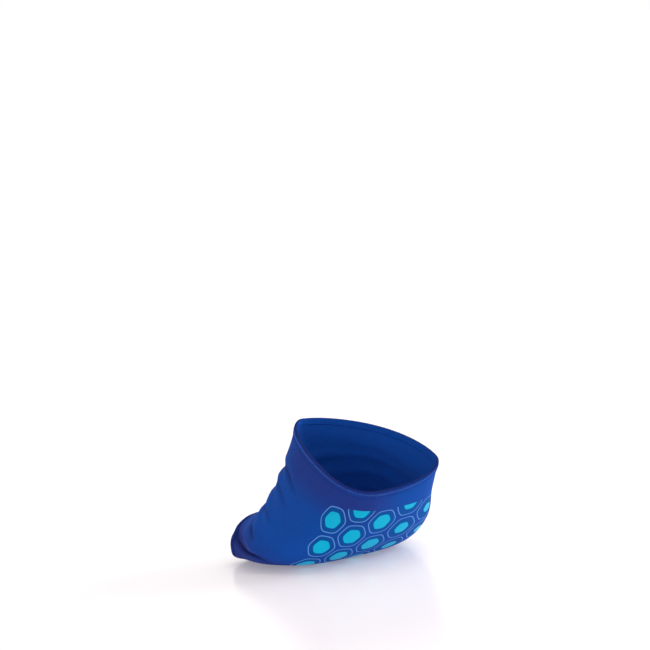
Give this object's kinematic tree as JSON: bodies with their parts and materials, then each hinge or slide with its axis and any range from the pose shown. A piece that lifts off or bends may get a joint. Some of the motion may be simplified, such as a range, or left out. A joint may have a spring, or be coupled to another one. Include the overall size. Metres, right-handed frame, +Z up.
{
  "type": "plantar gel sleeve",
  "caption": "Stretch-knit support sleeve for the forefoot and arch, open at both ends, with turned hems, a printed honeycomb sole and a gel cushion inside, in its bent worn form",
  "frame": {"origin": "the middle of the hollow, where the forefoot sits", "axes": "+Z up; -X towards the front opening, where the toes come out; -Y towards the arch side and +Y towards the outer side, along the sleeve's longest extent"},
  "size_m": [0.0726, 0.099, 0.0693],
  "materials": {
    "knit": "smooth royal-blue stretch knit",
    "hem": "turned and stitched royal-blue knit",
    "gel": "soft satin gel"
  },
  "bodies": {
    "root": {"sleeve_body": "knit", "rear_hem": "hem", "front_hem": "hem", "gel_pad": "gel"}
  },
  "joints": []
}
